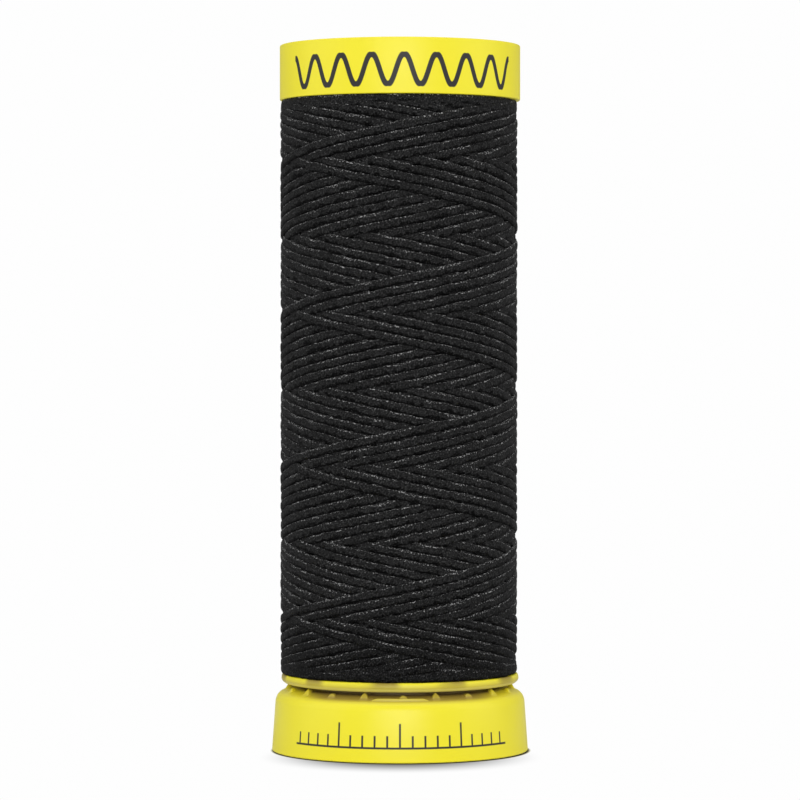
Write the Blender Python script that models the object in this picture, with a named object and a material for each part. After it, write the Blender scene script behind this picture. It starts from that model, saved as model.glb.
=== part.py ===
# A reel of covered elastic: a yellow tube with a head and a flange, the black cross-wound
# elastic on it, and a toothed base that snaps in under the flange and can be pulled down.
# The reel stands on its base, its axis is Z, and the front faces -Y. Sizes are in millimetres.
import math

import bmesh
import bpy

MM = 0.001
CLEARANCE = 0.3

# Head, tube and flange, one moulding
OVERALL_HEIGHT = 56.09
HEAD_RADIUS = 9.57
HEAD_UNDERSIDE = 51.78
HEAD_EDGE = 0.18
HEAD_RIM = 0.95
HEAD_RECESS = 0.8
HEAD_PLATE = 1.0
TUBE_RADIUS = 7.2
TUBE_BORE = 6.3
PIN_HOLE_RADIUS = 3.4
PIN_HOLE_BEVEL = 0.25
FLANGE_TOP = 6.12
FLANGE_EDGE_HEIGHT = 5.78
FLANGE_BOTTOM = 5.46
FLANGE_RADIUS = 9.49
FLANGE_BOTTOM_RADIUS = 8.84
FLANGE_EDGE = 0.16
FLANGE_HOLLOW = 0.22

# Base collar
FOOT_INNER_RADIUS = 9.2
FOOT_OUTER_RADIUS = 9.75
BASE_RADIUS = 10.21
BASE_FOOT_HEIGHT = 0.54
SHOULDER_RADIUS = 1.4
SHOULDER_CENTRE = (8.558, 3.71)
SHOULDER_FROM = 10.0
SHOULDER_TO = 66.0
LIP_TOP = 5.1
LIP_RADIUS = 8.9
LIP_BORE = 8.0
LIP_DEPTH = 0.6
COLLAR_BORE = 8.8
BASE_BORE = 9.1
FLOOR_BOTTOM = 2.4
FLOOR_TOP = 3.2
FLOOR_FALL = 0.12
SLEEVE_RADIUS = TUBE_BORE - CLEARANCE
SLEEVE_BORE = 5.0
SLEEVE_TOP = 14.0

# Teeth in the gap between the base and the flange, every second one rounded
TOOTH_COUNT = 20
TOOTH_WIDTH = 0.68
TOOTH_BACK_RADIUS = 8.12
TOOTH_TIP_RADIUS = 8.5
TOOTH_FOOT_RADIUS = 9.36
TOOTH_ROOT = 4.6
TOOTH_FOOT = 4.82
TOOTH_SHOULDER = 5.04
TOOTH_TIP = 5.36
TAB_HALF_ANGLE = 15.8
TAB_RAMP_ANGLE = 3.0
TAB_BACK_RADIUS = 8.6
TAB_RADIUS = 9.3
TAB_TOP = 5.06
TAB_ROOT = 4.6
TAB_END = 4.8

# Winding: the strands climb one pitch a turn in both directions, so many to the pitch
STRANDS_PER_PITCH = 16
WINDING_PITCH = 11.96
WINDING_RADIUS = 9.37
WINDING_BORE = TUBE_RADIUS + CLEARANCE
WINDING_BOTTOM = FLANGE_TOP + CLEARANCE
WINDING_TOP = HEAD_UNDERSIDE - CLEARANCE
WINDING_ROWS = 121
STRAND_RELIEF = 0.16
LAYER_DROP = 0.14
END_ROUNDING = (0.3, 0.09)
CROSSING_HEIGHT = 11.2
CROSSING_ANGLE = -74.0

REEL_SEGMENTS = 48
BASE_SEGMENTS = 60
FRONT_ANGLE = -90.0

YELLOW = (0.90, 0.80, 0.07, 1.0)
BLACK = (0.012, 0.012, 0.013, 1.0)


def arc(centre, radius_r, radius_z, start, end, steps):
    points = []
    for step in range(steps + 1):
        angle = math.radians(start + (end - start) * step / steps)
        points.append((centre[0] + radius_r * math.cos(angle), centre[1] + radius_z * math.sin(angle)))
    return points


def principled(name, colour, roughness):
    material = bpy.data.materials.new(name)
    material.use_nodes = True
    shader = material.node_tree.nodes["Principled BSDF"]
    shader.inputs["Base Color"].default_value = colour
    shader.inputs["Roughness"].default_value = roughness
    shader.inputs["Metallic"].default_value = 0.0
    material.diffuse_color = colour
    return material


def add_object(name, bm, material):
    bmesh.ops.recalc_face_normals(bm, faces=bm.faces)
    mesh = bpy.data.meshes.new(name)
    bm.to_mesh(mesh)
    bm.free()
    mesh.materials.append(material)
    mesh.shade_smooth()
    mesh.set_sharp_from_angle(angle=math.radians(35))
    shown = bpy.data.objects.new(name, mesh)
    bpy.context.scene.collection.objects.link(shown)
    return shown


def turned(name, profile, segments, material):
    # Spins a closed outline of radius and height about Z
    bm = bmesh.new()
    verts = [bm.verts.new((radius * MM, 0, height * MM)) for radius, height in profile]
    edges = [bm.edges.new((verts[n - 1], verts[n])) for n in range(len(verts))]
    bmesh.ops.spin(
        bm,
        geom=verts + edges,
        cent=(0, 0, 0),
        axis=(0, 0, 1),
        angle=math.tau,
        steps=segments,
        use_merge=True,
    )
    return add_object(name, bm, material)


def reel_profile():
    recess_floor = OVERALL_HEIGHT - HEAD_RECESS
    plate_underside = recess_floor - HEAD_PLATE
    rim_bore = HEAD_RADIUS - HEAD_RIM
    edge_in = FLANGE_RADIUS - FLANGE_EDGE
    head_in = HEAD_RADIUS - HEAD_EDGE
    hub_bottom = FLOOR_TOP + CLEARANCE
    hollow_top = FLANGE_BOTTOM + FLANGE_HOLLOW
    points = [(TUBE_BORE, hub_bottom), (TUBE_RADIUS, hub_bottom)]
    points += [(TUBE_RADIUS, hollow_top), (FLANGE_BOTTOM_RADIUS - FLANGE_HOLLOW, hollow_top)]
    points += [(FLANGE_BOTTOM_RADIUS, FLANGE_BOTTOM)]
    points += arc((edge_in, FLANGE_EDGE_HEIGHT), FLANGE_EDGE, FLANGE_EDGE, -35, 0, 2)
    points += arc((edge_in, FLANGE_EDGE_HEIGHT), FLANGE_EDGE, FLANGE_TOP - FLANGE_EDGE_HEIGHT, 30, 90, 2)
    points += [(TUBE_RADIUS, FLANGE_TOP), (TUBE_RADIUS, HEAD_UNDERSIDE)]
    points += arc((head_in, HEAD_UNDERSIDE + HEAD_EDGE), HEAD_EDGE, HEAD_EDGE, -90, 0, 3)
    points += arc((head_in, OVERALL_HEIGHT - HEAD_EDGE), HEAD_EDGE, HEAD_EDGE, 0, 90, 3)
    points += [(rim_bore, OVERALL_HEIGHT), (rim_bore, recess_floor)]
    points += [(PIN_HOLE_RADIUS + PIN_HOLE_BEVEL, recess_floor)]
    points += [(PIN_HOLE_RADIUS, recess_floor - PIN_HOLE_BEVEL)]
    points += [(PIN_HOLE_RADIUS, plate_underside), (TUBE_BORE, plate_underside)]
    return points


def base_profile():
    # The floor is highest at the sleeve and falls away from it on both sides
    foot_corner = (FOOT_OUTER_RADIUS, BASE_FOOT_HEIGHT)
    lip_underside = LIP_TOP - LIP_DEPTH - (COLLAR_BORE - LIP_BORE)
    floor_edge = FLOOR_TOP - FLOOR_FALL
    points = [(FOOT_INNER_RADIUS, 0)]
    points += arc(foot_corner, BASE_RADIUS - FOOT_OUTER_RADIUS, BASE_FOOT_HEIGHT, -90, 0, 4)
    points += arc(SHOULDER_CENTRE, SHOULDER_RADIUS, SHOULDER_RADIUS, SHOULDER_FROM, SHOULDER_TO, 5)
    points += [(LIP_RADIUS, LIP_TOP), (LIP_BORE, LIP_TOP), (LIP_BORE, LIP_TOP - LIP_DEPTH)]
    points += [(COLLAR_BORE, lip_underside), (COLLAR_BORE, floor_edge)]
    points += [(SLEEVE_RADIUS, FLOOR_TOP), (SLEEVE_RADIUS, SLEEVE_TOP)]
    points += [(SLEEVE_BORE, SLEEVE_TOP), (SLEEVE_BORE, FLOOR_TOP)]
    points += [(PIN_HOLE_RADIUS, floor_edge), (PIN_HOLE_RADIUS, FLOOR_BOTTOM + PIN_HOLE_BEVEL)]
    points += [(PIN_HOLE_RADIUS + PIN_HOLE_BEVEL, FLOOR_BOTTOM), (BASE_BORE, FLOOR_BOTTOM)]
    points += [(BASE_BORE, FOOT_INNER_RADIUS - BASE_BORE)]
    return points


def tooth_outline(rounded):
    # Across and up, seen from outside
    half = TOOTH_WIDTH / 2
    rise = TOOTH_TIP - TOOTH_SHOULDER
    outline = [(-half, TOOTH_ROOT), (half, TOOTH_ROOT)]
    if rounded:
        return outline + arc((0, TOOTH_SHOULDER), half, rise, 0, 180, 6)
    return outline + [
        (half, TOOTH_SHOULDER - rise / 3),
        (half * 0.62, TOOTH_SHOULDER + rise / 3),
        (0, TOOTH_TIP),
        (-half * 0.62, TOOTH_SHOULDER + rise / 3),
        (-half, TOOTH_SHOULDER - rise / 3),
    ]


def add_tooth(bm, angle, rounded):
    # Its outer face leans back from the shoulder to the tip
    turn = math.radians(FRONT_ANGLE + angle)
    out = (math.cos(turn), math.sin(turn))
    lean = (TOOTH_FOOT_RADIUS - TOOTH_TIP_RADIUS) / (TOOTH_TIP - TOOTH_FOOT)
    back = []
    front = []
    for side, height in tooth_outline(rounded):
        face_radius = min(TOOTH_TIP_RADIUS + lean * (TOOTH_TIP - height), TOOTH_FOOT_RADIUS)
        for ring, radius in ((back, TOOTH_BACK_RADIUS), (front, face_radius)):
            x = out[0] * radius - out[1] * side
            y = out[1] * radius + out[0] * side
            ring.append(bm.verts.new((x * MM, y * MM, height * MM)))
    bm.faces.new(back)
    bm.faces.new(front)
    for n in range(len(back)):
        bm.faces.new((back[n - 1], back[n], front[n], front[n - 1]))


def add_tab(bm):
    # A low curved pad with a ramp at each end
    full = TAB_HALF_ANGLE - TAB_RAMP_ANGLE
    stops = [(-TAB_HALF_ANGLE, TAB_END)]
    stops += [(full * step / 2, TAB_TOP) for step in range(-2, 3)]
    stops += [(TAB_HALF_ANGLE, TAB_END)]
    rings = []
    for angle, height in stops:
        turn = math.radians(FRONT_ANGLE + angle)
        corners = [(TAB_BACK_RADIUS, TAB_ROOT), (TAB_RADIUS, TAB_ROOT)]
        corners += [(TAB_RADIUS, height), (TAB_BACK_RADIUS, height)]
        ring = []
        for radius, z in corners:
            ring.append(bm.verts.new((radius * math.cos(turn) * MM, radius * math.sin(turn) * MM, z * MM)))
        rings.append(ring)
    for first, second in zip(rings, rings[1:]):
        for n in range(4):
            bm.faces.new((first[n - 1], first[n], second[n], second[n - 1]))
    bm.faces.new(rings[0])
    bm.faces.new(rings[-1])


def unite(target, other):
    other.hide_render = True
    other.display_type = "WIRE"
    union = target.modifiers.new(other.name, "BOOLEAN")
    union.operation = "UNION"
    union.object = other


def snap_base(material):
    base = turned("snap_base", base_profile(), BASE_SEGMENTS, material)
    bm = bmesh.new()
    for number in range(TOOTH_COUNT):
        add_tooth(bm, 360 * number / TOOTH_COUNT, number % 2 == 0)
    unite(base, add_object("teeth_guide", bm, material))
    bm = bmesh.new()
    add_tab(bm)
    unite(base, add_object("tab_guide", bm, material))
    return base


def strand_ages(angle, height):
    # How long ago, as a share of one coverage, the climbing and the falling strand passed here
    turns = (angle - CROSSING_ANGLE) / 360
    climbing = (CROSSING_HEIGHT - height) / WINDING_PITCH + turns
    falling = (height - CROSSING_HEIGHT) / WINDING_PITCH + turns
    return climbing % 1.0, falling % 1.0


def elastic_winding(material):
    columns = 2 * STRANDS_PER_PITCH
    row_height = (WINDING_TOP - WINDING_BOTTOM) / WINDING_ROWS
    bm = bmesh.new()
    rings = []
    for row in range(WINDING_ROWS + 1):
        height = WINDING_BOTTOM + row * row_height
        from_end = min(row, WINDING_ROWS - row)
        rounding = END_ROUNDING[from_end] if from_end < len(END_ROUNDING) else 0
        ring = []
        for column in range(columns):
            angle = 360 * column / columns
            crest = 0.5 if (row + column) % 2 == 0 else -0.5
            relief = STRAND_RELIEF * crest if from_end else 0
            sunk = LAYER_DROP * min(strand_ages(angle, height))
            radius = WINDING_RADIUS + relief - sunk - rounding
            turn = math.radians(FRONT_ANGLE + angle)
            ring.append(bm.verts.new((radius * math.cos(turn) * MM, radius * math.sin(turn) * MM, height * MM)))
        rings.append(ring)
    for row in range(WINDING_ROWS):
        height = WINDING_BOTTOM + (row + 0.5) * row_height
        for column in range(columns):
            after = (column + 1) % columns
            low, low_next = rings[row][column], rings[row][after]
            high, high_next = rings[row + 1][column], rings[row + 1][after]
            climbing, falling = strand_ages(360 * (column + 0.5) / columns, height)
            if climbing < falling:
                bm.faces.new((low, low_next, high_next))
                bm.faces.new((low, high_next, high))
            else:
                bm.faces.new((low, low_next, high))
                bm.faces.new((low_next, high_next, high))
    bore = []
    for height in (WINDING_BOTTOM, WINDING_TOP):
        ring = []
        for column in range(columns):
            turn = math.radians(FRONT_ANGLE + 360 * column / columns)
            x = WINDING_BORE * math.cos(turn)
            y = WINDING_BORE * math.sin(turn)
            ring.append(bm.verts.new((x * MM, y * MM, height * MM)))
        bore.append(ring)
    for first, second in ((rings[0], bore[0]), (bore[0], bore[1]), (bore[1], rings[-1])):
        for column in range(columns):
            after = (column + 1) % columns
            bm.faces.new((first[column], first[after], second[after], second[column]))
    return add_object("elastic_winding", bm, material)


def build():
    for old in list(bpy.data.objects):
        bpy.data.objects.remove(old)
    turned("reel_body", reel_profile(), REEL_SEGMENTS, principled("reel_plastic", YELLOW, 0.3))
    snap_base(principled("base_plastic", YELLOW, 0.3))
    elastic_winding(principled("elastic", BLACK, 0.75))


build()
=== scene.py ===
import math

import bmesh
import bpy
import numpy as np
from mathutils import Matrix, Vector


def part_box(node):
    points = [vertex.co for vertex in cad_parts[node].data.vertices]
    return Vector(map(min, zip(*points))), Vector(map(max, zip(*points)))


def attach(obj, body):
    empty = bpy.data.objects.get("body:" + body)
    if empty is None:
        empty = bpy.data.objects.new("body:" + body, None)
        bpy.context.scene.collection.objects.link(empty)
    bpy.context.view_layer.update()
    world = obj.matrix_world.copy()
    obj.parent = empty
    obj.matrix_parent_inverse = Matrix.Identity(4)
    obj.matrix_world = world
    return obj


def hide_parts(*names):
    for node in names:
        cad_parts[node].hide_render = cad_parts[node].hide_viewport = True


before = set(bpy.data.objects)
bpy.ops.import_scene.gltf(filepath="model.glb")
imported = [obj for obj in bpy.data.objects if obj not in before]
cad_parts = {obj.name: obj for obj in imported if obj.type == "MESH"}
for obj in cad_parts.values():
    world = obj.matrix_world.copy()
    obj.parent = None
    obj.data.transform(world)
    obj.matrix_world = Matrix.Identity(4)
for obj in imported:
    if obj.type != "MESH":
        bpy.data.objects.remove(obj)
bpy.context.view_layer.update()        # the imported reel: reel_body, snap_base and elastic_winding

# Sizes are in millimetres. Angles are in degrees, round the reel from the front, + to the right.
mm = 0.001
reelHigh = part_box("reel_body")[1]
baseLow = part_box("snap_base")[0]
reelTop = reelHigh.z / mm
headRadius = reelHigh.x / mm
baseRadius = -baseLow.y / mm

shaping = {
    "weld": 0.001,              # points closer than this become one
    "smoothBelow": 35.0,        # edges flatter than this are shaded smooth
    "bevelAbove": 40.0,         # edges sharper than this are rounded on the teeth and the tab
    "bevelSegments": 3,
}


def deselectAll():
    if bpy.context.mode != "OBJECT":
        bpy.ops.object.mode_set(mode="OBJECT")
    bpy.ops.object.select_all(action="DESELECT")


def makeActive(piece):
    deselectAll()
    piece.select_set(True)
    bpy.context.view_layer.objects.active = piece


def applyModifier(piece, kind, **settings):
    makeActive(piece)
    added = piece.modifiers.new(kind.lower(), kind)
    for key, value in settings.items():
        setattr(added, key, value)
    bpy.ops.object.modifier_apply(modifier=added.name)


def softenEdges(piece, width):
    applyModifier(piece, "BEVEL", width=width * mm, segments=shaping["bevelSegments"],
                  limit_method="ANGLE", angle_limit=math.radians(shaping["bevelAbove"]))


def shadeSmooth(piece):
    makeActive(piece)
    bpy.ops.object.shade_smooth_by_angle(angle=math.radians(shaping["smoothBelow"]))


def arcPoints(centre, across, up, start, end, steps):
    # Points along part of an ellipse, from the angle start to the angle end
    angles = np.radians(np.linspace(start, end, steps + 1))
    return [(centre[0] + across * math.cos(a), centre[1] + up * math.sin(a)) for a in angles]


def drawOutline(name, points):
    # A circle merged to one point, drawn out through all the points and closed; left in edit mode
    deselectAll()
    bpy.ops.mesh.primitive_circle_add(vertices=3, radius=mm)
    drawn = bpy.context.object
    drawn.name = name
    drawn.data.name = name
    bpy.ops.object.mode_set(mode="EDIT")
    bpy.ops.mesh.select_all(action="SELECT")
    bpy.ops.mesh.merge(type="CENTER")
    bpy.ops.transform.translate(value=Vector(points[0]) * mm)
    for here, there in zip(points, points[1:]):
        step = (Vector(there) - Vector(here)) * mm
        bpy.ops.mesh.extrude_vertices_move(TRANSFORM_OT_translate={"value": step})
    shape = bmesh.from_edit_mesh(drawn.data)
    for vert in shape.verts:
        vert.select_set(len(vert.link_edges) == 1)
    bmesh.update_edit_mesh(drawn.data)
    bpy.ops.mesh.edge_face_add()
    bpy.ops.mesh.select_all(action="SELECT")
    return drawn


def cleanMesh():
    # Merges the drawn piece's doubles, turns its faces outwards and leaves edit mode
    bpy.ops.mesh.select_all(action="SELECT")
    bpy.ops.mesh.remove_doubles(threshold=shaping["weld"] * mm)
    bpy.ops.mesh.normals_make_consistent(inside=False)
    bpy.ops.object.mode_set(mode="OBJECT")


def lathe(name, outline, steps):
    # Spins an outline of (radius, height) once round Z
    piece = drawOutline(name, [(radius, 0, height) for radius, height in outline])
    bpy.ops.mesh.spin(steps=steps, angle=math.tau, center=(0, 0, 0), axis=(0, 0, 1), use_auto_merge=True)
    cleanMesh()
    return piece


def finishPiece(piece, body, node, material):
    piece.data.materials.clear()
    piece.data.materials.append(material)
    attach(piece, body)
    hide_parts(node)


# Shader nodes: an input is given as a value or as the socket that feeds it

def addNode(tree, kind, inputs=None, **settings):
    made = tree.nodes.new(kind)
    for key, value in settings.items():
        setattr(made, key, value)
    for key, value in (inputs or {}).items():
        if isinstance(value, bpy.types.NodeSocket):
            tree.links.new(value, made.inputs[key])
        else:
            made.inputs[key].default_value = value
    return made


def calc(tree, operation, first, second=0.0, third=0.0, clamp=False):
    inputs = {0: first, 1: second, 2: third}
    return addNode(tree, "ShaderNodeMath", inputs, operation=operation, use_clamp=clamp).outputs[0]


def blendRange(tree, value, low, high, start=0.0, end=1.0, smooth=False):
    # From low, where the value is at start, to high, where it is at end
    inputs = {"Value": value, "From Min": start, "From Max": end, "To Min": low, "To Max": high}
    kind = "SMOOTHSTEP" if smooth else "LINEAR"
    return addNode(tree, "ShaderNodeMapRange", inputs, interpolation_type=kind).outputs["Result"]


def bandOf(tree, value, start, end, soft, smooth=True):
    # 1 between start and end, with soft sides
    rise = blendRange(tree, value, 0.0, 1.0, start - soft, start + soft, smooth)
    fall = blendRange(tree, value, 1.0, 0.0, end - soft, end + soft, smooth)
    return calc(tree, "MULTIPLY", rise, fall)


def mixColour(tree, amount, first, second):
    return addNode(tree, "ShaderNodeMix", {0: amount, 6: first, 7: second}, data_type="RGBA").outputs[2]


def noise(tree, place, scale, detail, roughness=0.5):
    inputs = {"Vector": place, "Scale": scale, "Detail": detail, "Roughness": roughness}
    return addNode(tree, "ShaderNodeTexNoise", inputs).outputs["Fac"]


def splitPlace(tree, place):
    return addNode(tree, "ShaderNodeSeparateXYZ", {"Vector": place}).outputs


def joinPlace(tree, across, ahead):
    return addNode(tree, "ShaderNodeCombineXYZ", {"X": across, "Y": ahead}).outputs["Vector"]


def lengthOf(tree, place):
    return addNode(tree, "ShaderNodeVectorMath", {0: place}, operation="LENGTH").outputs["Value"]


def newGroup(name, inputs, outputs):
    tree = bpy.data.node_groups.new(name, "ShaderNodeTree")
    for label, kind, start in inputs:
        socket = tree.interface.new_socket(name=label, in_out="INPUT", socket_type=kind)
        if start is not None:
            socket.default_value = start
    for label, kind in outputs:
        tree.interface.new_socket(name=label, in_out="OUTPUT", socket_type=kind)
    return tree, addNode(tree, "NodeGroupInput"), addNode(tree, "NodeGroupOutput")


def newMaterial(name, colour, roughness, specular):
    material = bpy.data.materials.new(name)
    material.use_nodes = True
    tree = material.node_tree
    shader = tree.nodes["Principled BSDF"]
    shader.inputs["Base Color"].default_value = colour
    shader.inputs["Roughness"].default_value = roughness
    shader.inputs["Specular IOR Level"].default_value = specular
    material.diffuse_color = colour
    return material, tree, shader


def addBump(tree, shader, height, strength, depth):
    inputs = {"Strength": strength, "Distance": depth * mm, "Height": height}
    bump = addNode(tree, "ShaderNodeBump", inputs)
    tree.links.new(bump.outputs["Normal"], shader.inputs["Normal"])


print("helpers ready")


view = {
    "distance": 297.5,          # camera to the reel's axis
    "height": 32.7,
    "aim": 27.9,                # height on the axis at the middle of the picture
    "lens": 167.8, "sensor": 36.0,
    "near": 10.0, "far": 20000.0,
}
studio = {
    "surround": 0.39,           # strength of the white all round, as the reel sees it
    "backdrop": 0.99,           # and as the camera sees it
    "lampAim": (0, 0, 25),
    "lamps": {
        "key": {"place": (0, -420, 105), "size": (320, 210), "watts": 0.66},
        "top": {"place": (0, -40, 430), "size": (460, 460), "watts": 0.62},
        "leftSide": {"place": (-390, -90, 200), "size": (400, 480), "watts": 0.50},
        "rightSide": {"place": (390, -90, 200), "size": (400, 480), "watts": 0.50},
    },
    "floorSize": 3000.0,
    "paper": (0.72, 0.72, 0.72, 1), "paperRoughness": 0.9,
    # Round shadows painted on the paper, a thin one at the foot and a soft one before it: how dark they
    # are, the radii between which they fade, and how far they are moved
    "contactShadow": {"dark": 0.94, "from": 10.12, "to": 10.42, "shift": (-0.05, 0.62)},
    "shadow": {"dark": 0.90, "from": 3.3, "to": 11.4, "shift": (0, 5.8)},
    # tint of the painted shadow at the foot
    "contactTint": (1.0, 0.93, 0.45, 1),
}


def addCamera():
    lens = bpy.data.cameras.new("camera")
    lens.lens = view["lens"]
    lens.sensor_width = view["sensor"]
    lens.clip_start = view["near"] * mm
    lens.clip_end = view["far"] * mm
    camera = bpy.data.objects.new("camera", lens)
    bpy.context.scene.collection.objects.link(camera)
    drop = math.atan2(view["height"] - view["aim"], view["distance"])
    camera.location = (0, -view["distance"] * mm, view["height"] * mm)
    camera.rotation_euler = (math.radians(90) - drop, 0, 0)
    bpy.context.scene.camera = camera


def addSoftbox(name, place, size, watts):
    lamp = bpy.data.lights.new(name, "AREA")
    lamp.shape = "RECTANGLE"
    lamp.size = size[0] * mm
    lamp.size_y = size[1] * mm
    lamp.energy = watts
    holder = bpy.data.objects.new(name, lamp)
    bpy.context.scene.collection.objects.link(holder)
    holder.location = Vector(place) * mm
    aim = Vector(studio["lampAim"]) - Vector(place)
    holder.rotation_euler = aim.to_track_quat("-Z", "Y").to_euler()


def addStudio():
    world = bpy.data.worlds.new("studio")
    bpy.context.scene.world = world
    world.use_nodes = True
    tree = world.node_tree
    background = tree.nodes["Background"]
    seen = addNode(tree, "ShaderNodeLightPath").outputs["Is Camera Ray"]
    strength = blendRange(tree, seen, studio["surround"], studio["backdrop"])
    tree.links.new(strength, background.inputs["Strength"])
    background.inputs["Color"].default_value = (1, 1, 1, 1)
    for name, lamp in studio["lamps"].items():
        addSoftbox(name, **lamp)
    bpy.context.scene.view_settings.view_transform = "Standard"


def addFloor():
    # The camera sees white paper with painted shadows on it, and the light falls on a plain grey one
    deselectAll()
    bpy.ops.mesh.primitive_plane_add(size=studio["floorSize"] * mm)
    floor = bpy.context.object
    floor.name = "floor"
    material, tree, shader = newMaterial("whitePaper", studio["paper"], studio["paperRoughness"], 0.0)
    place = addNode(tree, "ShaderNodeTexCoord").outputs["Object"]
    shades = []
    # Each painted shadow darkens the paper that the camera sees, by the distance from its moved centre
    for name in ("contactShadow", "shadow"):
        spot = studio[name]
        aside, ahead = spot["shift"]
        shift = (aside * mm, ahead * mm, 0)
        moved = addNode(tree, "ShaderNodeVectorMath", {0: place, 1: shift}, operation="ADD")
        away = calc(tree, "DIVIDE", lengthOf(tree, moved.outputs["Vector"]), mm)
        shades.append(blendRange(tree, away, spot["dark"], 0.0, spot["from"], spot["to"], smooth=True))
    light = calc(tree, "SUBTRACT", studio["backdrop"], calc(tree, "MAXIMUM", *shades), clamp=True)
    tint = mixColour(tree, shades[0], (1, 1, 1, 1), studio["contactTint"])
    blank = addNode(tree, "ShaderNodeEmission", {"Color": tint, "Strength": light})
    seen = addNode(tree, "ShaderNodeLightPath").outputs["Is Camera Ray"]
    both = addNode(tree, "ShaderNodeMixShader", {0: seen, 1: shader.outputs[0], 2: blank.outputs[0]})
    tree.links.new(both.outputs[0], tree.nodes["Material Output"].inputs["Surface"])
    floor.data.materials.append(material)


addCamera()
addStudio()
addFloor()
print("camera, light and floor ready")


plastic = {
    "yellow": (0.95, 0.850, 0.012, 1), "deepYellow": (0.92, 0.805, 0.009, 1),
    "reelRoughness": 0.43, "baseRoughness": 0.38,
    "specular": 0.60,
    "driftScale": 90.0, "driftRange": (0.35, 0.75), "driftShare": 0.7,      # slowly to the deep yellow
    "flowScale": 420.0, "flowRoughness": 0.16, "flowHeight": 0.5,           # faint flow marks
    "grainScale": 5200.0, "grainRoughness": 0.06,                           # fine skin
    "bump": 0.06, "bumpDepth": 0.05,
    "ink": (0.009, 0.008, 0.007, 1), "inkRoughness": 0.12,
}
gapPaint = {
    "deep": (0.30, 0.20, 0.045, 1),             # painted shade on the plastic that little light reaches, on both mouldings
    "sides": (5.5, 8.6), "sideShare": 0.2,      # the painted shade gets lighter this far to the left and right
    "hollow": (4.85, 5.75, 0.1),                # heights under the flange, and their softness
    "hollowRadii": (8.80, 9.05),
    "shaded": (0.42, 0.305, 0.055, 1),          # painted shade on the base's slope inside the gap
    "slopeHeights": (4.3, 4.6),
    "slopeRadii": (9.22, 9.86), "deepRadii": (8.68, 8.90),
    "slopeStart": 9.533, "slopeFall": -0.513,   # the slope itself: height at the axis, fall outwards
    "raisedHeights": (0.02, 0.10), "raisedShare": 0.78,     # teeth and tab stand above it, in more light, and get less of the painted shade
}
flangePaint = {
    "edge": (5.2, 6.4, 0.05),                   # heights of the flange's edge, and their softness
    "faceShade": (0.52, 0.40, 0.05, 1),              # painted shade on its face, darker downwards
    "faceShadeHeights": (5.72, 6.06), "faceShadeShare": 0.6,
    "darkReflection": (0.28, 0.195, 0.015, 1),            # painted dark reflections of the winding, in patches along it
    "patches": 10, "patchTurn": -9.0,           # how many, and where one of them is
    "patchRange": (-0.2, 0.9),                  # lower values make them wider
    "unevenScale": 330.0, "uneven": 3.0,        # how small and how strong their unevenness is
    "patchHeights": (5.6, 6.08), "patchShares": (0.3, 0.95),
    "paleReflection": (0.84, 0.75, 0.22, 1),           # a painted pale reflection on its lower edge
    "paleReflectionHeights": (5.2, 5.62, 0.1), "paleReflectionShare": 0.65,
}
printed = {
    "waveFrom": -59.0, "waveTo": 63.0, "waveFade": 0.2, "waves": 8,
    "waveHeight": 53.6, "waveRise": 1.12, "waveStroke": 0.42,
    "ruleFrom": -53.0, "ruleTo": 54.5, "ruleFade": 0.4, "ruleFoot": 1.15,
    "tickWidth": 0.16, "ticks": ((1.0, 0.95), (5.0, 1.9)),      # how far apart and how tall
    "softness": 0.03,
    "skin": (0.3, 0.2),         # only the outermost face is printed
}


def mouldedGroup():
    # Slow colour drift, faint flow marks and the fine skin grain of an injection moulding
    tree, given, made = newGroup(
        "mouldedPlastic",
        [("Place", "NodeSocketVector", None), ("Colour", "NodeSocketColor", plastic["yellow"]),
         ("Deep Colour", "NodeSocketColor", plastic["deepYellow"]),
         ("Roughness", "NodeSocketFloat", plastic["reelRoughness"])],
        [("Colour", "NodeSocketColor"), ("Roughness", "NodeSocketFloat"), ("Height", "NodeSocketFloat")],
    )
    place = given.outputs["Place"]
    drift = noise(tree, place, plastic["driftScale"], detail=3.0)
    flow = noise(tree, place, plastic["flowScale"], detail=2.0)
    grain = noise(tree, place, plastic["grainScale"], detail=2.0, roughness=0.6)
    share = blendRange(tree, drift, 0.0, plastic["driftShare"], *plastic["driftRange"])
    colour = mixColour(tree, share, given.outputs["Colour"], given.outputs["Deep Colour"])
    middle = (plastic["flowRoughness"] + plastic["grainRoughness"]) / 2
    rough = calc(tree, "SUBTRACT", given.outputs["Roughness"], middle)
    rough = calc(tree, "MULTIPLY_ADD", flow, plastic["flowRoughness"], rough)
    rough = calc(tree, "MULTIPLY_ADD", grain, plastic["grainRoughness"], rough)
    height = calc(tree, "MULTIPLY_ADD", flow, plastic["flowHeight"], grain)
    for label, value in (("Colour", colour), ("Roughness", rough), ("Height", height)):
        tree.links.new(value, made.inputs[label])
    return tree


def whereOn(tree):
    # Where a point of the reel lies, in millimetres and degrees
    place = addNode(tree, "ShaderNodeTexCoord").outputs["Object"]
    parts = splitPlace(tree, place)
    turned = calc(tree, "ARCTAN2", parts["X"], calc(tree, "MULTIPLY", parts["Y"], -1.0))
    return {
        "place": place,
        "aside": calc(tree, "DIVIDE", calc(tree, "ABSOLUTE", parts["X"]), mm),
        "radius": calc(tree, "DIVIDE", lengthOf(tree, joinPlace(tree, parts["X"], parts["Y"])), mm),
        "height": calc(tree, "DIVIDE", parts["Z"], mm),
        "angle": calc(tree, "DEGREES", turned),
    }


def sideLight(tree, where):
    # The gap's painted shade is lighter towards the sides
    return blendRange(tree, where["aside"], 1.0, gapPaint["sideShare"], *gapPaint["sides"], smooth=True)


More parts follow.
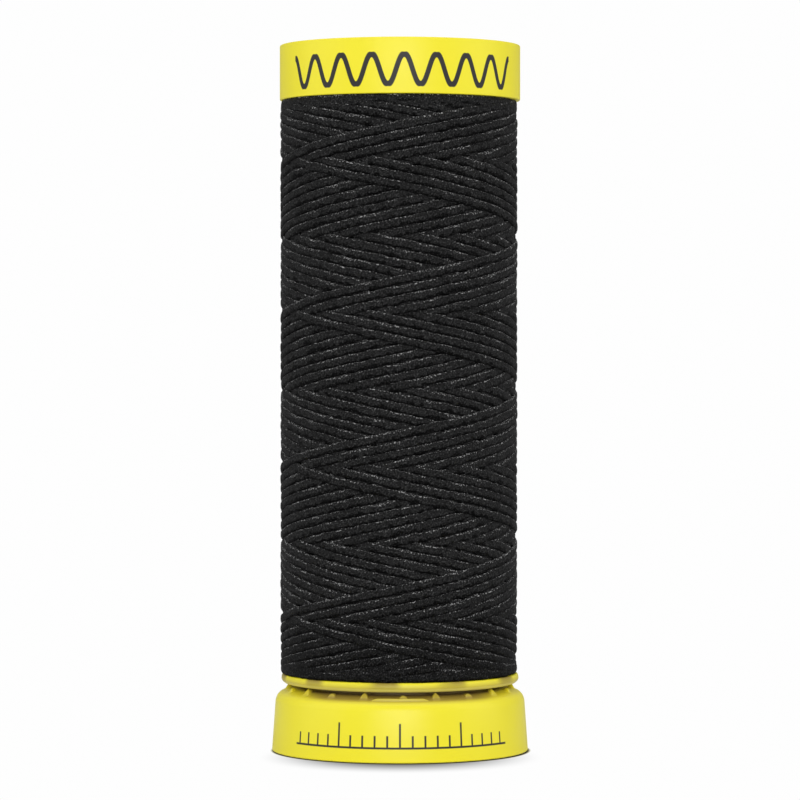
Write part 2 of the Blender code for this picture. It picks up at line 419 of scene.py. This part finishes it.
def flangeShade(tree, where, colour):
    # The flange's edge: painted shade down its face, painted dark reflections in patches along it and a
    # painted pale reflection on its lower edge
    height = where["height"]
    phase = calc(tree, "RADIANS", calc(tree, "SUBTRACT", where["angle"], flangePaint["patchTurn"]))
    wave = calc(tree, "COSINE", calc(tree, "MULTIPLY", phase, flangePaint["patches"]))
    uneven = noise(tree, where["place"], flangePaint["unevenScale"], detail=1.0)
    uneven = calc(tree, "SUBTRACT", uneven, 0.5)
    patches = calc(tree, "MULTIPLY_ADD", uneven, flangePaint["uneven"], wave)
    patches = blendRange(tree, patches, 0.0, 1.0, *flangePaint["patchRange"], smooth=True)
    upwards = blendRange(tree, height, *flangePaint["patchShares"], *flangePaint["patchHeights"])
    edge = bandOf(tree, height, *flangePaint["edge"])
    faceShade = blendRange(tree, height, flangePaint["faceShadeShare"], 0.0, *flangePaint["faceShadeHeights"])
    darkReflection = calc(tree, "MULTIPLY", patches, upwards)
    lower = bandOf(tree, height, *flangePaint["paleReflectionHeights"])
    colour = mixColour(tree, calc(tree, "MULTIPLY", edge, faceShade), colour, flangePaint["faceShade"])
    colour = mixColour(tree, calc(tree, "MULTIPLY", edge, darkReflection), colour, flangePaint["darkReflection"])
    paleReflection = calc(tree, "MULTIPLY", lower, flangePaint["paleReflectionShare"])
    return mixColour(tree, paleReflection, colour, flangePaint["paleReflection"])


def reelShade(tree, where, colour):
    # The flange's painted shade and reflections, and painted shade in the hollow under it
    colour = flangeShade(tree, where, colour)
    inside = blendRange(tree, where["radius"], 1.0, 0.0, *gapPaint["hollowRadii"], smooth=True)
    deep = calc(tree, "MULTIPLY", inside, bandOf(tree, where["height"], *gapPaint["hollow"]))
    return mixColour(tree, calc(tree, "MULTIPLY", deep, sideLight(tree, where)), colour, gapPaint["deep"])


def baseShade(tree, where, colour):
    # Painted shade on the slope and the inside of the gap
    radius, height = where["radius"], where["height"]
    above = blendRange(tree, height, 0.0, 1.0, *gapPaint["slopeHeights"], smooth=True)
    above = calc(tree, "MULTIPLY", above, sideLight(tree, where))
    slope = calc(tree, "MULTIPLY_ADD", radius, gapPaint["slopeFall"], gapPaint["slopeStart"])
    over = calc(tree, "SUBTRACT", height, slope)
    raised = blendRange(tree, over, 1.0, gapPaint["raisedShare"], *gapPaint["raisedHeights"], smooth=True)
    above = calc(tree, "MULTIPLY", above, raised)
    for radii, paint in (("slopeRadii", "shaded"), ("deepRadii", "deep")):
        inside = blendRange(tree, radius, 1.0, 0.0, *gapPaint[radii], smooth=True)
        colour = mixColour(tree, calc(tree, "MULTIPLY", inside, above), colour, gapPaint[paint])
    return colour


def onSkin(tree, where, radius):
    # 1 on the face at this radius and 0 further in
    inner, outer = (radius - depth for depth in printed["skin"])
    return blendRange(tree, where["radius"], 0.0, 1.0, inner, outer)


def lineOf(tree, away, width):
    # 1 within a line of this width
    inner, outer = width / 2 - printed["softness"], width / 2 + printed["softness"]
    return blendRange(tree, calc(tree, "ABSOLUTE", away), 1.0, 0.0, inner, outer, smooth=True)


def wavePrint(tree, where):
    # A plain bold wave round the front of the head
    start, end, rise = printed["waveFrom"], printed["waveTo"], printed["waveRise"]
    perDegree = math.tau * printed["waves"] / (end - start)
    phase = calc(tree, "MULTIPLY", calc(tree, "SUBTRACT", where["angle"], start), perDegree)
    wave = calc(tree, "MULTIPLY_ADD", calc(tree, "COSINE", phase), rise, printed["waveHeight"])
    slope = calc(tree, "MULTIPLY", calc(tree, "SINE", phase), rise * perDegree / math.radians(headRadius))
    lengthen = calc(tree, "SQRT", calc(tree, "MULTIPLY_ADD", slope, slope, 1.0))
    away = calc(tree, "DIVIDE", calc(tree, "SUBTRACT", where["height"], wave), lengthen)
    ink = calc(tree, "MULTIPLY", lineOf(tree, away, printed["waveStroke"]), onSkin(tree, where, headRadius))
    front = bandOf(tree, where["angle"], start, end, printed["waveFade"], smooth=False)
    return calc(tree, "MULTIPLY", ink, front)


def rulePrint(tree, where):
    # Plain measuring ticks round the front of the base
    start, end, foot = printed["ruleFrom"], printed["ruleTo"], printed["ruleFoot"]
    arc = calc(tree, "MULTIPLY", where["angle"], math.radians(baseRadius))
    ink = lineOf(tree, calc(tree, "SUBTRACT", where["height"], foot), printed["tickWidth"])
    for every, tall in printed["ticks"]:
        near = calc(tree, "WRAP", arc, every / 2, -every / 2)
        upright = bandOf(tree, where["height"], foot, foot + tall, printed["softness"], smooth=False)
        tick = calc(tree, "MULTIPLY", lineOf(tree, near, printed["tickWidth"]), upright)
        ink = calc(tree, "MAXIMUM", ink, tick)
    ink = calc(tree, "MULTIPLY", ink, onSkin(tree, where, baseRadius))
    front = bandOf(tree, where["angle"], start, end, printed["ruleFade"], smooth=False)
    return calc(tree, "MULTIPLY", ink, front)


def plasticMaterial(name, group, roughness, shade, pattern):
    # The moulded plastic with the light and shade painted on it by place on the object, and its printed
    # pattern
    material, tree, shader = newMaterial(name, plastic["yellow"], roughness, plastic["specular"])
    where = whereOn(tree)
    finish = addNode(tree, "ShaderNodeGroup", {
        "Place": where["place"], "Colour": plastic["yellow"], "Deep Colour": plastic["deepYellow"],
        "Roughness": roughness}, node_tree=group)
    ink = pattern(tree, where)
    colour = mixColour(tree, ink, shade(tree, where, finish.outputs["Colour"]), plastic["ink"])
    rough = calc(tree, "MULTIPLY_ADD", ink, plastic["inkRoughness"], finish.outputs["Roughness"])
    tree.links.new(colour, shader.inputs["Base Color"])
    tree.links.new(rough, shader.inputs["Roughness"])
    addBump(tree, shader, finish.outputs["Height"], plastic["bump"], plastic["bumpDepth"])
    return material


# Counts are grains in a millimetre along the strand, and across its face. Places on the face run from
# 0 at the strand's upper edge to 1 at its lower edge.
elastic = {
    "black": (0.0118, 0.0118, 0.0120, 1), "roughness": 0.66, "specular": 0.06,
    "slant": 0.35,                                      # the covering yarn runs at a slant
    "crimpCounts": (5.2, 2.5), "fibreCounts": (8.5, 9.0),
    "edgeCounts": (2.2, 1.0), "driftCounts": (0.35, 0.35),
    "crimpDark": (0.4, 1.6), "fibreDark": (0.4, 1.6),   # shares of the black, between and on the yarn
    "yarnRange": (0.3, 0.7),                            # of the noise, from between the yarn to on it
    "faceDark": (0.95, 1.3), "faceRange": (0.35, 0.65),     # painted light: its lower half is a little lighter
    "bottomDark": (0.55, 1.0), "bottomHeights": (8.0, 13.0),    # painted shade: the lowest turns are darker, as they get less light
    "sheen": (0.024, 0.024, 0.024, 1),                  # painted highlight: the bright line along the upper edge
    "ridge": (0.06, 0.15, 0.23, 0.34),                  # where it fades in and out over the face
    "ridgeCrimp": 0.32, "ridgeEdge": 0.2, "ridgeDrift": 0.10,
    "sheenShares": (0.25, 1.0), "sheenRange": (0.36, 0.60),
    "fibre": (0.40, 0.40, 0.40, 1),                     # dashes of light fibre, mostly on that line, where they are painted glints
    "dashRange": (0.54, 0.68), "dashShares": (0.06, 1.0), "dashRidge": (0.1, 0.8),
    "shadow": (0.0003, 0.0003, 0.0004, 1),              # painted shade along the lower edge
    "under": (0.61, 0.68), "underCrimp": 0.42, "underEdge": 0.6,
    "bump": 0.9, "bumpDepth": 0.07, "fibreHeight": 0.5,
}


def yarnNoise(tree, along, around, counts, detail, roughness=0.5):
    scaled = [calc(tree, "MULTIPLY", value, count) for value, count in zip((along, around), counts)]
    return noise(tree, joinPlace(tree, *scaled), 1.0, detail, roughness)


def yarnEdges(tree, along, around, crimp):
    # The painted highlight along the strand's upper edge and the painted shade along its lower edge, both
    # uneven
    drift = yarnNoise(tree, along, around, elastic["driftCounts"], detail=1.0)
    drift = blendRange(tree, drift, -elastic["ridgeDrift"], elastic["ridgeDrift"], *elastic["yarnRange"])
    bulge = calc(tree, "SUBTRACT", crimp, 0.5)
    edge = calc(tree, "SUBTRACT", yarnNoise(tree, along, around, elastic["edgeCounts"], detail=1.0), 0.5)
    upper = calc(tree, "ADD", calc(tree, "MULTIPLY_ADD", bulge, elastic["ridgeCrimp"], around), drift)
    upper = calc(tree, "MULTIPLY_ADD", edge, elastic["ridgeEdge"], upper)
    lower = calc(tree, "MULTIPLY_ADD", bulge, elastic["underCrimp"], around)
    lower = calc(tree, "MULTIPLY_ADD", edge, elastic["underEdge"], lower)
    rise = blendRange(tree, upper, 0.0, 1.0, *elastic["ridge"][:2], smooth=True)
    fall = blendRange(tree, upper, 1.0, 0.0, *elastic["ridge"][2:], smooth=True)
    under = blendRange(tree, lower, 0.0, 1.0, *elastic["under"], smooth=True)
    return calc(tree, "MULTIPLY", rise, fall), under


def elasticMaterial():
    # The covering yarn's crimps and fibres, read from the UV map along and round the strand, with painted
    # highlight and shade on the strand's edges and its lowest turns
    black = elastic["black"]
    material, tree, shader = newMaterial("coveredElastic", black, elastic["roughness"], elastic["specular"])
    parts = splitPlace(tree, addNode(tree, "ShaderNodeUVMap", uv_map="strand").outputs["UV"])
    along, around = parts["X"], parts["Y"]
    height = splitPlace(tree, addNode(tree, "ShaderNodeTexCoord").outputs["Object"])["Z"]
    height = calc(tree, "DIVIDE", height, mm)
    slanted = calc(tree, "MULTIPLY_ADD", around, elastic["slant"], along)
    crimp = yarnNoise(tree, slanted, around, elastic["crimpCounts"], detail=2.0, roughness=0.6)
    fibre = yarnNoise(tree, slanted, around, elastic["fibreCounts"], detail=1.0, roughness=0.6)
    ridge, under = yarnEdges(tree, along, around, crimp)
    shade = blendRange(tree, crimp, *elastic["crimpDark"], *elastic["yarnRange"])
    # Mottle of the yarn, times painted light on the lower half of each face and painted shade on the lowest
    # turns
    for value, dark, reach in ((fibre, "fibreDark", "yarnRange"), (around, "faceDark", "faceRange"),
                               (height, "bottomDark", "bottomHeights")):
        shade = calc(tree, "MULTIPLY", shade, blendRange(tree, value, *elastic[dark], *elastic[reach]))
    face = addNode(tree, "ShaderNodeVectorMath", {0: black[:3], "Scale": shade}, operation="SCALE")
    # Painted shade on the lower edge, then the painted highlight and glints on the upper edge
    colour = mixColour(tree, under, face.outputs["Vector"], elastic["shadow"])
    glow = blendRange(tree, crimp, *elastic["sheenShares"], *elastic["sheenRange"])
    colour = mixColour(tree, calc(tree, "MULTIPLY", ridge, glow), colour, elastic["sheen"])
    dash = blendRange(tree, fibre, 0.0, 1.0, *elastic["dashRange"])
    onRidge = blendRange(tree, ridge, *elastic["dashShares"], *elastic["dashRidge"])
    colour = mixColour(tree, calc(tree, "MULTIPLY", dash, onRidge), colour, elastic["fibre"])
    tree.links.new(colour, shader.inputs["Base Color"])
    relief = calc(tree, "MULTIPLY_ADD", fibre, elastic["fibreHeight"], crimp)
    addBump(tree, shader, relief, elastic["bump"], elastic["bumpDepth"])
    return material


moulded = mouldedGroup()
reelPlastic = plasticMaterial("reelPlastic", moulded, plastic["reelRoughness"], reelShade, wavePrint)
basePlastic = plasticMaterial("basePlastic", moulded, plastic["baseRoughness"], baseShade, rulePrint)
coveredElastic = elasticMaterial()
print("materials ready")


# Reel: head, tube and flange
reel = {
    "steps": 144,
    "headUnderside": 51.74, "headEdge": 0.09,
    "headRim": 0.95, "rimEdge": 0.12,
    "headRecess": 0.8, "recessFillet": 0.2, "headPlate": 1.0,       # the sunk top and the plate under it
    "tubeRadius": 7.2, "tubeBore": 6.3, "tubeBottom": 3.5,
    "pinHole": 3.4, "pinBevel": 0.25,
    "flangeRadius": 9.46, "flangeTop": 6.12, "flangeEdgeHeight": 5.75, "flangeEdge": 0.16,
    "flangeUnder": ((8.70, 5.62), (8.94, 5.46), (8.99, 5.37), (9.23, 5.43), (9.375, 5.55)),
    "lowerArcFrom": -35.0, "upperArcFrom": 15.0,        # of the flange's rounded edge
}


def headOutline():
    # From the head's underside over the rim into the sunk top, and down through the pin hole
    recess = reelTop - reel["headRecess"]
    rimBore = headRadius - reel["headRim"]
    soft, rim, fillet = reel["headEdge"], reel["rimEdge"], reel["recessFillet"]
    outline = arcPoints((headRadius - soft, reel["headUnderside"] + soft), soft, soft, -90, 0, steps=6)
    outline += arcPoints((headRadius - soft, reelTop - soft), soft, soft, 0, 90, steps=6)
    outline += arcPoints((rimBore + rim, reelTop - rim), rim, rim, 90, 180, steps=3)
    outline += arcPoints((rimBore - fillet, recess + fillet), fillet, fillet, 0, -90, steps=4)
    hole, bevel, plate = reel["pinHole"], reel["pinBevel"], recess - reel["headPlate"]
    outline += [(hole + bevel, recess), (hole, recess - bevel)]
    return outline + [(hole, plate), (reel["tubeBore"], plate)]


def flangeOutline():
    # From the flange's underside round its edge to its top face
    soft = reel["flangeEdge"]
    middle = (reel["flangeRadius"] - soft, reel["flangeEdgeHeight"])
    outline = [(reel["tubeRadius"], reel["flangeUnder"][0][1])] + list(reel["flangeUnder"])
    outline += arcPoints(middle, soft, soft, reel["lowerArcFrom"], 0, steps=4)
    outline += arcPoints(middle, soft, reel["flangeTop"] - middle[1], reel["upperArcFrom"], 90, steps=6)
    return outline + [(reel["tubeRadius"], reel["flangeTop"])]


def makeReel():
    outline = [(reel["tubeBore"], reel["tubeBottom"]), (reel["tubeRadius"], reel["tubeBottom"])]
    outline += flangeOutline()
    outline += [(reel["tubeRadius"], reel["headUnderside"])]
    outline += headOutline()
    piece = lathe("reelMoulding", outline, reel["steps"])
    shadeSmooth(piece)
    finishPiece(piece, "reel", "reel_body", reelPlastic)


makeReel()
print("reel ready")


# Base: collar, teeth and tab
base = {
    "steps": 160,
    "footInner": 9.4, "footOuter": 10.1, "footHeight": 0.1,
    "shoulder": 1.4, "shoulderCentre": (8.558, 3.71), "shoulderFrom": 10.0, "shoulderTo": 31.0,
    "crown": 0.45, "crownCentre": (9.285, 4.270), "crownFrom": 37.0, "crownTo": 64.0,
    "lipTop": 5.06, "lipRadius": 8.72, "lipBore": 8.0, "lipDepth": 0.6,
    "collarBore": 8.8, "bore": 9.1, "floorBottom": 2.4, "floorTop": 3.2, "floorFall": 0.12,
    "sleeveRadius": 6.0, "sleeveBore": 5.0, "sleeveTop": 14.0,
}
teeth = {
    "count": 20, "width": 0.68, "back": 8.62, "tipRadius": 8.88, "footRadius": 9.20,
    "root": 4.5, "foot": 4.78, "tip": 5.34, "roundTip": 5.14, "point": 0.33, "softness": 0.06,
    "cheek": 0.62, "cheekRise": 0.11,           # a pointed tooth narrows to this share over its shoulder
    "frontTurn": 1.6,                           # the tooth at the front stands a little to the right
}
tab = {
    "halfAngle": 14.7, "ramp": 4.0, "steps": 16, "back": 8.6, "radius": 9.42,
    "root": 4.5, "end": 4.68, "top": 4.92, "softness": 0.06,
}


def baseOutline():
    # From the foot up the wall, over the shoulder and the lip, and down the inside with its sleeve
    foot = (base["footOuter"], base["footHeight"])
    lipUnder = base["lipTop"] - base["lipDepth"]
    floorEdge = base["floorTop"] - base["floorFall"]
    shoulder, crown = base["shoulder"], base["crown"]
    hole, bevel = reel["pinHole"], reel["pinBevel"]
    outline = [(base["footInner"], 0)]
    outline += arcPoints(foot, baseRadius - foot[0], foot[1], -90, 0, steps=8)
    outline += arcPoints(base["shoulderCentre"], shoulder, shoulder,
                         base["shoulderFrom"], base["shoulderTo"], steps=7)
    outline += arcPoints(base["crownCentre"], crown, crown, base["crownFrom"], base["crownTo"], steps=5)
    outline += [(base["lipRadius"], base["lipTop"]), (base["lipBore"], base["lipTop"])]
    outline += [(base["lipBore"], lipUnder)]
    outline += [(base["collarBore"], lipUnder + base["lipBore"] - base["collarBore"])]
    outline += [(base["collarBore"], floorEdge), (base["sleeveRadius"], base["floorTop"])]
    outline += [(base["sleeveRadius"], base["sleeveTop"]), (base["sleeveBore"], base["sleeveTop"])]
    outline += [(base["sleeveBore"], base["floorTop"]), (hole, floorEdge)]
    outline += [(hole, base["floorBottom"] + bevel), (hole + bevel, base["floorBottom"])]
    outline += [(base["bore"], base["floorBottom"]), (base["bore"], base["footInner"] - base["bore"])]
    return outline


def toothOutline(rounded):
    # Seen from the front, as (side, height)
    half, rise = teeth["width"] / 2, teeth["point"]
    outline = [(-half, teeth["root"]), (half, teeth["root"])]
    if rounded:
        return outline + arcPoints((0, teeth["roundTip"] - rise), half, rise, 0, 180, steps=10)
    low = teeth["tip"] - rise - teeth["cheekRise"]
    high = teeth["tip"] - rise + teeth["cheekRise"]
    cheek = half * teeth["cheek"]
    return outline + [(half, low), (cheek, high), (0, teeth["tip"]), (-cheek, high), (-half, low)]


def makeTooth(rounded):
    # Its outline is pushed out to the foot, and its face is leaned back to the tip
    outline = [(side, -teeth["back"], height) for side, height in toothOutline(rounded)]
    tooth = drawOutline("tooth", outline)
    bpy.ops.mesh.edge_face_add()
    out = (0, -(teeth["footRadius"] - teeth["back"]) * mm, 0)
    bpy.ops.mesh.extrude_region_move(TRANSFORM_OT_translate={"value": out})
    bpy.ops.mesh.select_all(action="SELECT")
    bpy.ops.mesh.bisect(plane_co=(0, 0, teeth["foot"] * mm), plane_no=(0, 0, 1))
    lean = (teeth["footRadius"] - teeth["tipRadius"]) / (teeth["tip"] - teeth["foot"])
    shape = bmesh.from_edit_mesh(tooth.data)
    for vert in shape.verts:
        if vert.co.y < -teeth["tipRadius"] * mm and vert.co.z > teeth["foot"] * mm:
            vert.co.y += lean * (vert.co.z - teeth["foot"] * mm)
    bmesh.update_edit_mesh(tooth.data)
    cleanMesh()
    softenEdges(tooth, teeth["softness"])
    return tooth


def makeTab():
    # A low curved pad with a ramp at each end
    start = math.radians(tab["halfAngle"] - 90)
    corners = [(tab["back"], tab["root"]), (tab["radius"], tab["root"]),
               (tab["radius"], tab["end"]), (tab["back"], tab["end"])]
    across, back = math.cos(start), math.sin(start)
    pad = drawOutline("tab", [(radius * across, radius * back, height) for radius, height in corners])
    bpy.ops.mesh.edge_face_add()
    reach = math.radians(2 * tab["halfAngle"])
    bpy.ops.mesh.spin(steps=tab["steps"], angle=reach, center=(0, 0, 0), axis=(0, 0, 1))
    shape = bmesh.from_edit_mesh(pad.data)
    for vert in shape.verts:
        if vert.co.z > (tab["root"] + tab["end"]) / 2 * mm:
            angle = math.degrees(math.atan2(vert.co.x, -vert.co.y))
            share = min(1, (tab["halfAngle"] - abs(angle)) / tab["ramp"])
            vert.co.z = (tab["end"] + (tab["top"] - tab["end"]) * math.sin(share * math.pi / 2)) * mm
    bmesh.update_edit_mesh(pad.data)
    cleanMesh()
    softenEdges(pad, tab["softness"])
    return pad


def makeTeeth():
    # Rounded and pointed ones in turn, joined in one mesh
    row = []
    for first, rounded in ((0, True), (1, False)):
        tooth = makeTooth(rounded)
        for number in range(first, teeth["count"], 2):
            copy = tooth.copy()
            copy.data = tooth.data.copy()
            turn = math.tau * number / teeth["count"]
            if number == 0:
                turn += math.radians(teeth["frontTurn"])
            copy.data.transform(Matrix.Rotation(turn, 4, "Z"))
            bpy.context.scene.collection.objects.link(copy)
            row.append(copy)
        bpy.data.objects.remove(tooth)
    makeActive(row[0])
    for copy in row:
        copy.select_set(True)
    bpy.ops.object.join()
    return row[0]


def makeBase():
    piece = lathe("baseMoulding", baseOutline(), base["steps"])
    for part in (makeTab(), makeTeeth()):
        applyModifier(piece, "BOOLEAN", operation="UNION", object=part, solver="MANIFOLD")
        bpy.data.objects.remove(part)
    shadeSmooth(piece)
    finishPiece(piece, "base", "snap_base", basePlastic)


makeBase()
print("base ready")


# Winding: one strand of elastic, cross-wound from the flange to the head and back
winding = {
    "lengths": ("windingFirst", "windingSecond", "windingThird", "windingLast"),
    "pitch": 11.96,                     # climb in one turn, up or down
    "strokesInPitch": 16,               # strands side by side in one pitch
    "crossAngle": -69.5, "crossHeight": 11.05,      # where the newest two strands cross
    "topPeak": 51.41, "bottomPeak": 6.49,
    "topTurn": 0.377,                   # turns that the strand takes to turn back at the head
    "radius": 9.14,                     # of the strand's centre where it lies on top
    "middle": -0.09,                    # the wound body sits this far to the left
    "halfWidth": 0.367, "halfThick": 0.30, "squareness": 3.1,
    "samples": 224,                     # in one turn
    "sides": (-90, -67, -45, -22, 0, 22, 45, 67, 90, 180),      # round the section, + to the lower edge
    "dive": 0.13,                       # depth of a strand under one newer strand
    "deepest": 1.25,                    # newer strands that count for that, at most
    "endDive": 0.2,                     # share of that depth that is left at the head and the flange
    "endFade": 1.5,                     # and how far from them it fades, as the waver does
    "crossFrom": 0.98, "crossTo": 0.42,     # how near a crossing strand starts to press, and presses fully
    "besideFrom": 0.70, "besideTo": 0.35,   # and one that runs beside it
    "ageDrop": 0.04,                    # the oldest turns lie this much deeper
    "tuckLevel": 1.6, "tuckLength": 9.0,        # the newest end goes under
    "waver": 0.055, "waverTurns": (0.29, 1.7),
    "looseness": 0.02, "looseTurns": 0.12,
    "uneven": 0.05, "thickTurns": 0.21, "wideTurns": 0.17, "rough": 0.07,
    "crinkle": 0.035, "crinkleTurns": 0.0115,
    "hidden": 0.97,                     # it is cut where newer strands cover at least this much of it
    "seed": 7,
}


def ease(value):
    value = np.clip(value, 0, 1)
    return value * value * (3 - 2 * value)


def smoothNoise(turn, spacing, size, random):
    # Random values every so many turns, eased from one to the next
    place = turn / spacing
    values = random.uniform(-size, size, int(place.max() - place.min()) + 3)
    place = place - place.min()
    step = np.floor(place).astype(int)
    share = ease(place - step)
    return values[step] * (1 - share) + values[step + 1] * share


def unevenShare(turn, spacing, random):
    # About 1: swells slowly, and is a little rough from sample to sample
    swell = smoothNoise(turn, spacing, winding["uneven"], random)
    return 1 + swell + random.uniform(-winding["rough"], winding["rough"], len(turn))


def strandCourse():
    # Turns, height and direction of every sample, the oldest first
    pitch, top, bottom, topTurn = (winding[key] for key in ("pitch", "topPeak", "bottomPeak", "topTurn"))
    straight = 2 * (top - bottom) / pitch
    doubleStroke = round(straight + 0.5) - 1 / winding["strokesInPitch"]
    bottomTurn = 2 * (doubleStroke - straight) - topTurn
    crossing = bottomTurn / 4 + (winding["crossHeight"] - bottom) / pitch
    turns = int(round(doubleStroke * winding["strokesInPitch"]))
    half = doubleStroke / 2
    turn = half - crossing - np.arange(turns * winding["samples"])[::-1] / winding["samples"]
    phase = (turn + crossing) % doubleStroke
    away = np.where(phase > half, doubleStroke - phase, phase)
    height = bottom - pitch * bottomTurn / 4 + pitch * away
    height = np.where(away < bottomTurn / 2, bottom + pitch / bottomTurn * away ** 2, height)
    height = np.where(away > half - topTurn / 2, top - pitch / topTurn * (half - away) ** 2, height)
    return turn, height, phase < half


def sunkLevels(height, rising):
    # How many newer strands lie over each sample: turn by turn from the newest back, at each angle
    rows = height.reshape(-1, winding["samples"])
    ways = rising.reshape(-1, winding["samples"])
    slope = math.cos(math.atan(winding["pitch"] / (math.tau * winding["radius"])))
    level = np.zeros_like(rows)
    for row in range(len(rows) - 2, -1, -1):
        gap = np.abs(rows[row + 1:] - rows[row]) * slope
        beside = ways[row + 1:] == ways[row]
        start = np.where(beside, winding["besideFrom"], winding["crossFrom"])
        end = np.where(beside, winding["besideTo"], winding["crossTo"])
        cover = ease((start - gap) / (start - end))
        level[row] = np.minimum((cover * (level[row + 1:] + 1)).max(axis=0), winding["deepest"])
    return level.ravel()


def strandSection():
    # The flattened section: places across and outwards, and how far round it each of them is
    angles = np.radians(np.array(winding["sides"], float))
    power = 2 / winding["squareness"]
    across = np.sign(np.sin(angles)) * np.abs(np.sin(angles)) ** power
    outward = np.sign(np.cos(angles)) * np.abs(np.cos(angles)) ** power
    steps = np.hypot(np.roll(across, -1) - across, np.roll(outward, -1) - outward)
    around = np.concatenate([[0], np.cumsum(steps)])
    return across, outward, around / around[winding["sides"].index(90)]


def strandPoints(centres, outs, widths, thicks, across, outward):
    # The section round every centre, upright on the strand's course
    ahead = np.gradient(centres, axis=0)
    ahead /= np.linalg.norm(ahead, axis=1)[:, None]
    out = outs - (outs * ahead).sum(axis=1)[:, None] * ahead
    out /= np.linalg.norm(out, axis=1)[:, None]
    side = np.cross(ahead, out)
    return (centres[:, None] + side[:, None] * (across * widths[:, None])[..., None]
            + out[:, None] * (outward * thicks[:, None])[..., None])


def strandFaces(rings, sides):
    # Quads between the rings, and a cap at each end
    ring = np.arange(rings - 1)[:, None] * sides
    near = np.arange(sides)[None]
    far = (near + 1) % sides
    quads = np.stack([ring + near, ring + far, ring + sides + far, ring + sides + near], axis=-1)
    caps = [list(range(sides))[::-1], list(range((rings - 1) * sides, rings * sides))]
    return quads.reshape(-1, 4).tolist() + caps


def unwrapStrand(mesh, lengths, around):
    # Along the strand in millimetres; round it from 0 at its upper edge to 1 at its lower edge, and on
    sides = len(around) - 1
    along = np.stack([lengths[:-1], lengths[:-1], lengths[1:], lengths[1:]], axis=-1)
    along = np.repeat(along[:, None], sides, axis=1).ravel()
    across = np.stack([around[:-1], around[1:], around[1:], around[:-1]], axis=-1)
    across = np.tile(across.ravel(), len(lengths) - 1)
    values = np.zeros((len(mesh.loops), 2), np.float32)
    values[:len(along)] = np.stack([along, across], axis=-1)
    mesh.uv_layers.new(name="strand").data.foreach_set("uv", values.ravel())


def sweepStrand(name, centres, outs, widths, thicks, lengths):
    across, outward, around = strandSection()
    points = strandPoints(centres, outs, widths, thicks, across, outward)
    mesh = bpy.data.meshes.new(name)
    faces = strandFaces(len(centres), len(across))
    mesh.from_pydata((points.reshape(-1, 3) * mm).tolist(), [], faces)
    unwrapStrand(mesh, lengths, around)
    mesh.polygons.foreach_set("use_smooth", np.ones(len(mesh.polygons), bool))
    piece = bpy.data.objects.new(name, mesh)
    bpy.context.scene.collection.objects.link(piece)
    return piece


def makeWinding():
    # The whole strand is worked out first and then made in several lengths
    random = np.random.default_rng(winding["seed"])
    turn, height, rising = strandCourse()
    count = len(turn)
    inside = ease((winding["topPeak"] - height) / winding["endFade"])
    inside = inside * ease((height - winding["bottomPeak"]) / winding["endFade"])
    waver = sum(smoothNoise(turn, spacing, winding["waver"], random) for spacing in winding["waverTurns"])
    height = height + waver * inside
    level = sunkLevels(height, rising)
    toEnd = (turn[-1] - turn) * math.tau * winding["radius"]
    level = np.maximum(level, winding["tuckLevel"] * ease(1 - toEnd / winding["tuckLength"]))
    age = 1 - np.arange(count) / count
    dive = winding["dive"] * level * (winding["endDive"] + (1 - winding["endDive"]) * inside)
    radius = winding["radius"] - dive - winding["ageDrop"] * age
    radius = radius + smoothNoise(turn, winding["looseTurns"], winding["looseness"], random)
    thicks = winding["halfThick"] * unevenShare(turn, winding["thickTurns"], random)
    widths = winding["halfWidth"] * unevenShare(turn, winding["wideTurns"], random)
    angle = math.radians(winding["crossAngle"]) + turn * math.tau
    outs = np.stack([np.sin(angle), -np.cos(angle), np.zeros(count)], axis=-1)
    centres = outs * radius[:, None]
    centres[:, 0] += winding["middle"]
    centres[:, 2] = height + smoothNoise(turn, winding["crinkleTurns"], winding["crinkle"], random)
    lengths = np.concatenate([[0], np.cumsum(np.linalg.norm(np.diff(centres, axis=0), axis=1))])
    print("strand length", round(lengths[-1] / 1000, 2), "m in", round(turn[-1] - turn[0]), "turns")
    cuts = [0]
    for number in range(1, len(winding["lengths"])):
        start = count * number // len(winding["lengths"])
        cuts.append(start + int(np.nonzero(level[start:] > winding["hidden"])[0][0]))
    cuts.append(count - 1)
    for name, start, end in zip(winding["lengths"], cuts, cuts[1:]):
        part = slice(start, end + 1)
        piece = sweepStrand(name, centres[part], outs[part], widths[part], thicks[part], lengths[part])
        finishPiece(piece, "reel", "elastic_winding", coveredElastic)


makeWinding()
print("winding ready")


# Heart: the turns underneath, as one body that closes the gaps between the strands
heart = {
    "steps": 96, "radius": 8.45, "bevel": 0.3,
    "clearance": 0.05,          # from the tube
}


def makeHeart():
    # Its UV lies past the strand's face, so that it is all in the painted shade of a lower edge
    low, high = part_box("elastic_winding")
    bottom, top = low.z / mm, high.z / mm
    inner = reel["tubeRadius"] + heart["clearance"]
    outer, bevel = heart["radius"], heart["bevel"]
    outline = [(inner, bottom), (outer - bevel, bottom), (outer, bottom + bevel)]
    outline += [(outer, top - bevel), (outer - bevel, top), (inner, top)]
    piece = lathe("windingHeart", outline, heart["steps"])
    shadeSmooth(piece)
    layer = piece.data.uv_layers.new(name="strand")
    for loop in piece.data.loops:
        place = piece.data.vertices[loop.vertex_index].co
        layer.data[loop.index].uv = (math.atan2(place.x, -place.y) * outer, place.z / mm)
    finishPiece(piece, "reel", "elastic_winding", coveredElastic)


makeHeart()
print("heart ready")
